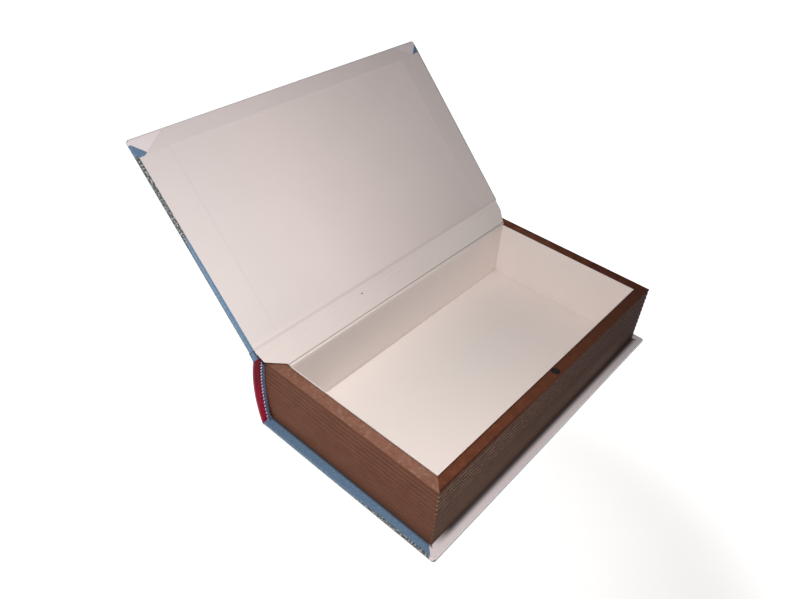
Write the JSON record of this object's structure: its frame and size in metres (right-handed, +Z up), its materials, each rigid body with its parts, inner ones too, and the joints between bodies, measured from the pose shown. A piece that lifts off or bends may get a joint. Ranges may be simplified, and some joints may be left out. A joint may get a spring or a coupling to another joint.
{
  "type": "book-shaped money box",
  "caption": "Book-shaped money box: a white-lined wooden tray bound like a hardback book, with a paper-hinged lid and a magnet catch in the fore edge wall.",
  "frame": {"origin": "middle of the back cover's underside, on the surface that the box stands on", "axes": "+X from the spine to the fore edge, +Y along the spine from tail to head, +Z up"},
  "size_m": [0.2668, 0.272, 0.1719],
  "materials": {
    "grey_board": "matt pressed grey board",
    "cover_print": "matt laminated print in mottled blue and pale lilac",
    "hardboard": "raw fibreboard",
    "stained_wood": "brown stain on grooved fibreboard, satin",
    "stained_wood_dark": "dark brown stain on grooved fibreboard, satin",
    "lining_card": "matt white card",
    "magnet": "dark oxidised disc",
    "headband_weave": "navy and white woven cord",
    "spine_print": "matt laminated crimson print",
    "endpaper": "smooth uncoated white paper",
    "keeper_steel": "zinc plated"
  },
  "bodies": {
    "tray": {"back_board": "grey_board", "back_cover_paper": "cover_print", "floor_panel": "hardboard", "tail_wall": "stained_wood", "head_wall": "stained_wood", "fore_edge_wall": "stained_wood_dark", "spine_block": "hardboard", "floor_lining": "lining_card", "tail_lining": "lining_card", "head_lining": "lining_card", "fore_edge_lining": "lining_card", "spine_lining": "lining_card", "front_magnet": "magnet", "headband_tail": "headband_weave", "headband_head": "headband_weave", "spine_card": "grey_board", "spine_cover_paper": "spine_print", "hinge_flange": "endpaper"},
    "lid": {"front_board": "grey_board", "front_cover_paper": "cover_print", "front_endpaper": "endpaper", "lid_keeper": "keeper_steel"}
  },
  "joints": [
    {"name": "lid_hinge", "type": "hinge", "parent": "tray", "child": "lid", "pos_m": [-0.0813, 0, 0.0576], "axis": [0, -1, 0], "range_deg": [-134.5, 66]}
  ]
}
